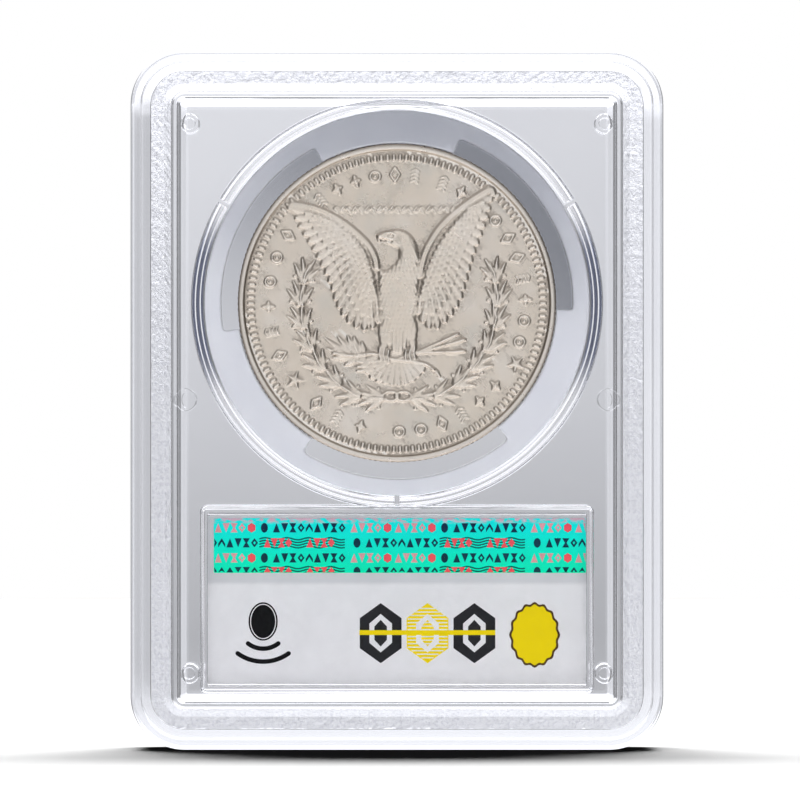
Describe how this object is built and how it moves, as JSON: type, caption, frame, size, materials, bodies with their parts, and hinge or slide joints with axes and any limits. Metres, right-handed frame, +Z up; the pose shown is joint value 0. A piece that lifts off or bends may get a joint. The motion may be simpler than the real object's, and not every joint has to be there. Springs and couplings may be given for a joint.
{
  "type": "graded coin slab",
  "caption": "Sealed clear plastic holder that shows a large reeded silver coin in a padded gasket above a printed label card with a foil security strip.",
  "frame": {"origin": "centre of the lower edge, on the surface that the slab stands on, on the plane where the two half shells meet", "axes": "+Z up along the slab's height, label at the bottom and coin above; X along its width; +Y through its thickness, out of the front of the slab, so the back that shows the coin's reverse faces -Y"},
  "size_m": [0.0636, 0.008, 0.0833],
  "materials": {
    "clear_plastic": "gloss",
    "frosted_weld": "satin",
    "gasket_plastic": "satin",
    "coin_silver": "satin",
    "label_paper": "matte",
    "label_front_paper": "matte",
    "hologram_foil": "satin",
    "tag_film": "gloss",
    "tag_metal": "satin",
    "tag_chip": "matte"
  },
  "bodies": {
    "root": {"back_shell": "clear_plastic", "front_shell": "clear_plastic", "weld_bead": "frosted_weld", "coin_gasket": "gasket_plastic", "coin": "coin_silver", "label_back_card": "label_paper", "label_front_card": "label_front_paper", "hologram_strip": "hologram_foil", "nfc_film": "tag_film", "nfc_antenna": "tag_metal", "nfc_chip": "tag_chip"}
  },
  "joints": []
}
